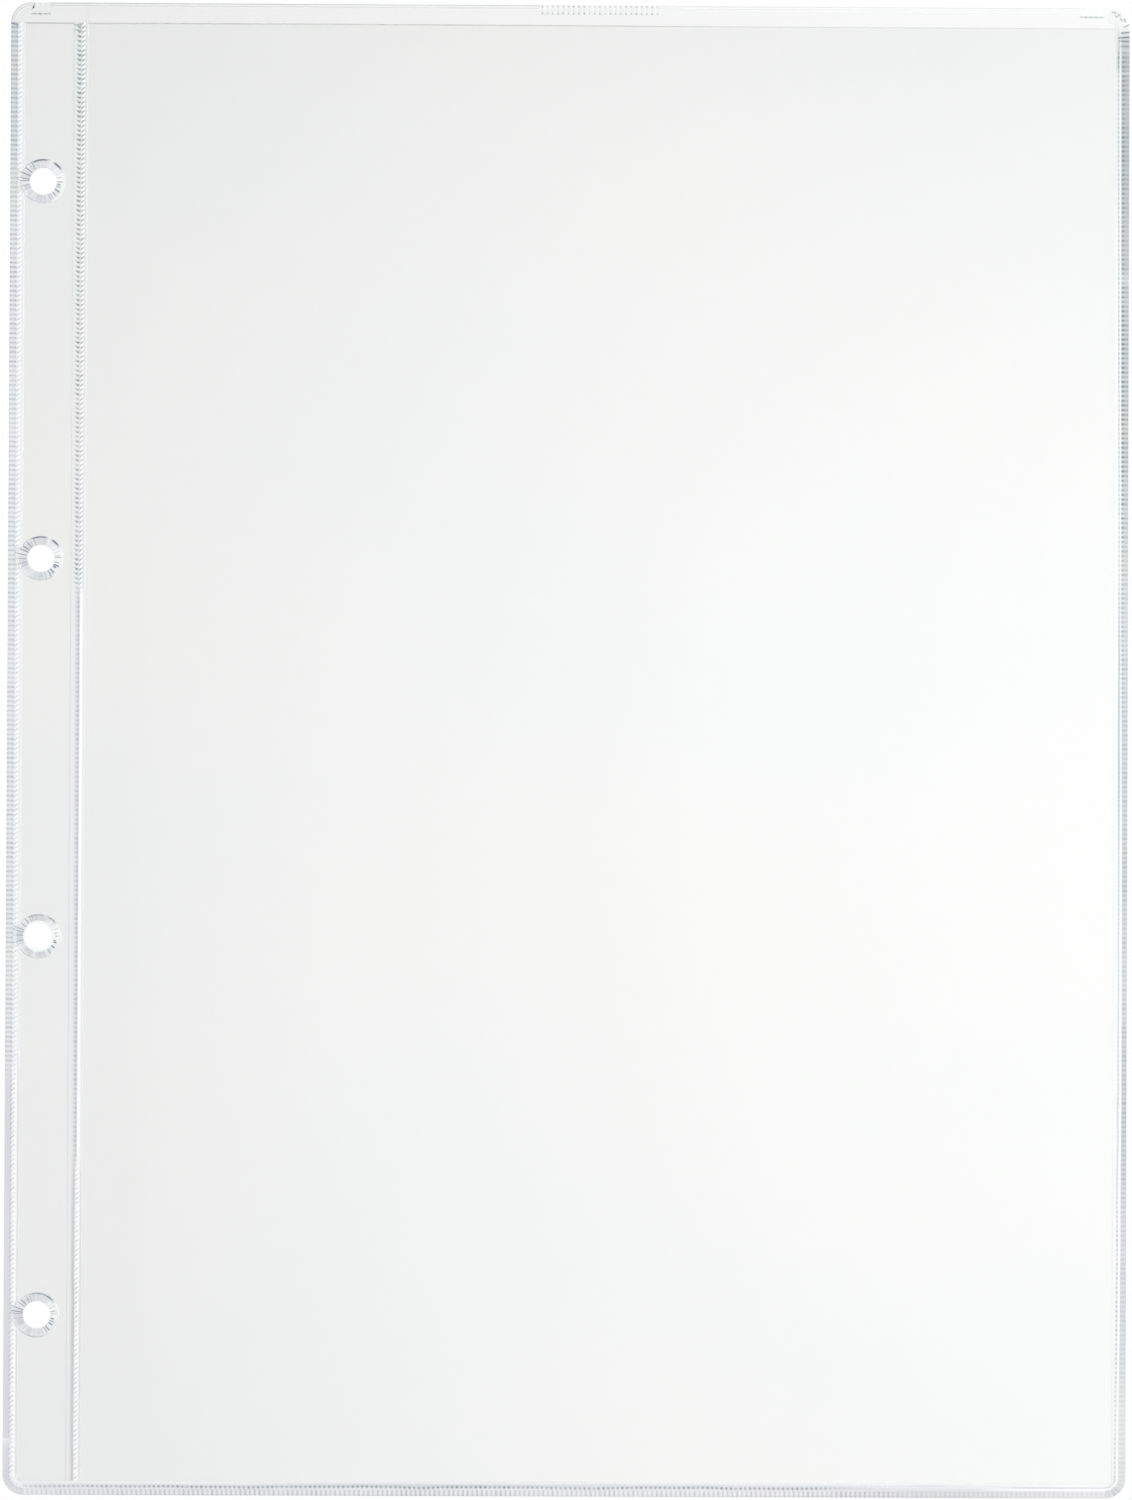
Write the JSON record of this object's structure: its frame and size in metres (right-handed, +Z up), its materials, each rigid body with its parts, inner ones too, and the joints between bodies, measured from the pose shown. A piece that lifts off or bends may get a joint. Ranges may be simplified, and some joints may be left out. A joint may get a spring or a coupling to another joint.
{
  "type": "sheet protector",
  "caption": "Clear film pocket with a punched binding margin, open along one short edge, with ribbed welds along its edges and toothed welds round its ring-binder holes.",
  "frame": {"origin": "middle of the page, on the surface that its back film lies on", "axes": "+X from the binding margin across the pocket, +Y towards the open mouth, +Z up out of the front film"},
  "size_m": [0.2374, 0.316, 0.0006],
  "materials": {
    "clear_film": "clear soft vinyl film, smooth and glossy",
    "weld": "clear vinyl fused under a ribbed die, milky at the ribs"
  },
  "bodies": {
    "binding_margin": {"left_edge_weld": "weld", "left_corner_weld": "weld", "back_margin_film": "clear_film", "front_margin_film": "clear_film", "margin_weld": "weld", "hole_weld_1": "weld", "hole_weld_2": "weld", "hole_weld_3": "weld", "hole_weld_4": "weld", "lip_tack_left": "weld"},
    "pocket": {"back_pocket_film": "clear_film", "bottom_edge_weld": "weld", "right_corner_weld": "weld", "right_edge_weld": "weld", "top_corner_weld": "weld", "lip_tack_middle": "weld", "lip_tack_right": "weld"},
    "front_film": {"front_pocket_film": "clear_film"}
  },
  "joints": [
    {"name": "page_turn", "type": "hinge", "parent": "binding_margin", "child": "pocket", "pos_m": [-0.10236, 0, 0.00028], "axis": [0, -1, 0], "range_deg": [-90, 90], "stiffness_Nm_per_rad": 0.02},
    {"name": "mouth_lift", "type": "hinge", "parent": "pocket", "child": "front_film", "pos_m": [0, -0.1549, 0.00035], "axis": [1, 0, 0], "range_deg": [0, 3], "stiffness_Nm_per_rad": 0.05}
  ]
}
